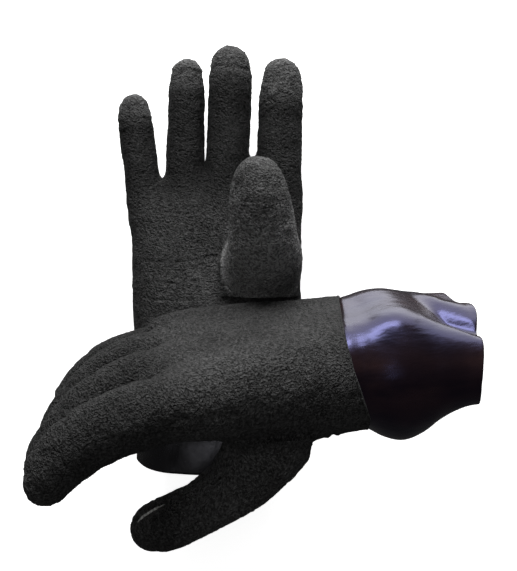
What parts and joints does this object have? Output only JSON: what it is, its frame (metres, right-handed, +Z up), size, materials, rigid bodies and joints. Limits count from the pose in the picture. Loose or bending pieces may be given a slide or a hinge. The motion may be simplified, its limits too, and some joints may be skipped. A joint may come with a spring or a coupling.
{
  "type": "cryogenic gloves",
  "caption": "Insulated rubber gauntlet gloves with smooth flared cuffs and thermal liners, one laid across the other; fingers and thumbs bend.",
  "frame": {"origin": "middle of the bounding box on the surface that the gloves lie on", "axes": "+Z up from that surface, +Y along the lower glove towards its fingertips, -X along the upper glove towards its fingertips"},
  "size_m": [0.273, 0.3165, 0.1783],
  "materials": {
    "shell_rubber": "matte charcoal rubber with a fine wrinkled grip",
    "cuff_rubber": "smooth glossy latex rubber, near black with a warm brown cast",
    "liner_knit": "brushed thermal knit",
    "rubber_cement": "thin set film",
    "binding_tape": "woven edge tape"
  },
  "bodies": {
    "lower_glove": {"lower_hand_shell": "shell_rubber", "lower_hand_liner": "liner_knit", "lower_cuff": "cuff_rubber", "lower_bond_band": "rubber_cement", "lower_cuff_liner": "liner_knit", "lower_liner_binding": "binding_tape"},
    "lower_index": {"lower_index_stall": "shell_rubber", "lower_index_liner": "liner_knit"},
    "lower_middle": {"lower_middle_stall": "shell_rubber", "lower_middle_liner": "liner_knit"},
    "lower_ring": {"lower_ring_stall": "shell_rubber", "lower_ring_liner": "liner_knit"},
    "lower_little": {"lower_little_stall": "shell_rubber", "lower_little_liner": "liner_knit"},
    "lower_thumb": {"lower_thumb_stall": "shell_rubber", "lower_thumb_liner": "liner_knit"},
    "upper_glove": {"upper_hand_shell": "shell_rubber", "upper_hand_liner": "liner_knit", "upper_cuff": "cuff_rubber", "upper_bond_band": "rubber_cement", "upper_cuff_liner": "liner_knit", "upper_liner_binding": "binding_tape"},
    "upper_index": {"upper_index_stall": "shell_rubber", "upper_index_liner": "liner_knit"},
    "upper_middle": {"upper_middle_stall": "shell_rubber", "upper_middle_liner": "liner_knit"},
    "upper_ring": {"upper_ring_stall": "shell_rubber", "upper_ring_liner": "liner_knit"},
    "upper_little": {"upper_little_stall": "shell_rubber", "upper_little_liner": "liner_knit"},
    "upper_thumb": {"upper_thumb_stall": "shell_rubber", "upper_thumb_liner": "liner_knit"}
  },
  "joints": [
    {"name": "lower_index_bend", "type": "hinge", "parent": "lower_glove", "child": "lower_index", "pos_m": [0.01504, 0.07359, 0.0257], "axis": [0.9997, -0.0244, 0], "range_deg": [-5, 40], "stiffness_Nm_per_rad": 1},
    {"name": "lower_middle_bend", "type": "hinge", "parent": "lower_glove", "child": "lower_middle", "pos_m": [-0.02016, 0.07358, 0.0227], "axis": [0.9992, -0.0401, 0], "range_deg": [-5, 40], "stiffness_Nm_per_rad": 1},
    {"name": "lower_ring_bend", "type": "hinge", "parent": "lower_glove", "child": "lower_ring", "pos_m": [-0.05002, 0.07259, 0.0207], "axis": [0.9997, -0.0227, 0], "range_deg": [-5, 40], "stiffness_Nm_per_rad": 1},
    {"name": "lower_little_bend", "type": "hinge", "parent": "lower_glove", "child": "lower_little", "pos_m": [-0.0782, 0.06448, 0.0257], "axis": [0.9945, 0.1045, 0], "range_deg": [-5, 40], "stiffness_Nm_per_rad": 1},
    {"name": "lower_thumb_bend", "type": "hinge", "parent": "lower_glove", "child": "lower_thumb", "pos_m": [0.0035, 0.0141, 0.0637], "axis": [-0.9994, 0.0349, 0], "range_deg": [-10, 15], "stiffness_Nm_per_rad": 1},
    {"name": "upper_index_bend", "type": "hinge", "parent": "upper_glove", "child": "upper_index", "pos_m": [-0.06635, -0.07422, 0.16124], "axis": [0.1633, -0.3319, 0.9291], "range_deg": [-20, 15], "stiffness_Nm_per_rad": 1},
    {"name": "upper_middle_bend", "type": "hinge", "parent": "upper_glove", "child": "upper_middle", "pos_m": [-0.07326, -0.0602, 0.13026], "axis": [0.2044, -0.3295, 0.9218], "range_deg": [-20, 15], "stiffness_Nm_per_rad": 1},
    {"name": "upper_ring_bend", "type": "hinge", "parent": "upper_glove", "child": "upper_ring", "pos_m": [-0.0781, -0.04939, 0.10273], "axis": [0.1839, -0.3308, 0.9256], "range_deg": [-20, 15], "stiffness_Nm_per_rad": 1},
    {"name": "upper_little_bend", "type": "hinge", "parent": "upper_glove", "child": "upper_little", "pos_m": [-0.07566, -0.04427, 0.07559], "axis": [0.1495, -0.3326, 0.9311], "range_deg": [-20, 15], "stiffness_Nm_per_rad": 1},
    {"name": "upper_thumb_bend", "type": "hinge", "parent": "upper_glove", "child": "upper_thumb", "pos_m": [0.00705, -0.103, 0.1131], "axis": [-0.3939, 0.3103, -0.8652], "range_deg": [-10, 15], "stiffness_Nm_per_rad": 1},
    {"name": "upper_glove_lift", "type": "slide", "parent": "lower_glove", "child": "upper_glove", "axis": [0, 0, 1], "range_m": [0, 0.15]}
  ]
}
